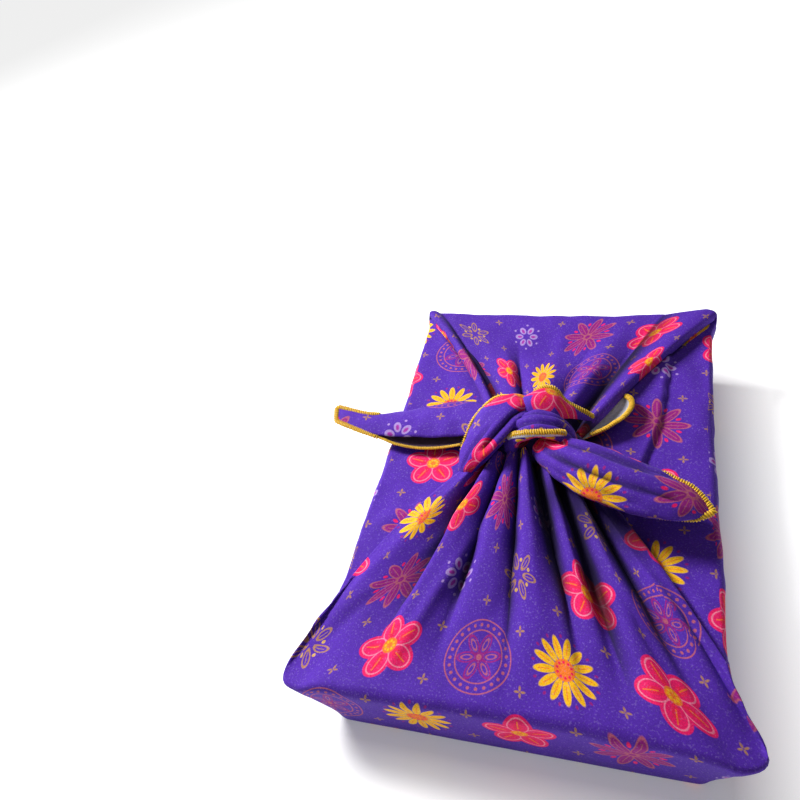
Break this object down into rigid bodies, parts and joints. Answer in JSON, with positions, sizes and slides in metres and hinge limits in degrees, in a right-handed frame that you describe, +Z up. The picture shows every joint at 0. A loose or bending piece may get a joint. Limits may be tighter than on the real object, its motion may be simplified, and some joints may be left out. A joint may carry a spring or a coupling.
{
  "type": "furoshiki wrap",
  "caption": "Square printed cotton wrapping cloth tied round a flat box-shaped parcel, with gathered pleats, folded corners, a square knot on top and free cloth ends.",
  "frame": {"origin": "middle of the flat underside where the wrapped parcel rests", "axes": "+Z up, +Y along the parcel's length away from the near flap with its two ears, +X to the right"},
  "size_m": [0.2574, 0.3037, 0.0889],
  "materials": {
    "printed_cotton": "violet cotton printed with pink, orange and yellow flower medallions, matt with a faint sheen",
    "hem_thread": "golden yellow overlock thread along the cut edge"
  },
  "bodies": {
    "root": {"wrap": "printed_cotton"}
  },
  "joints": []
}
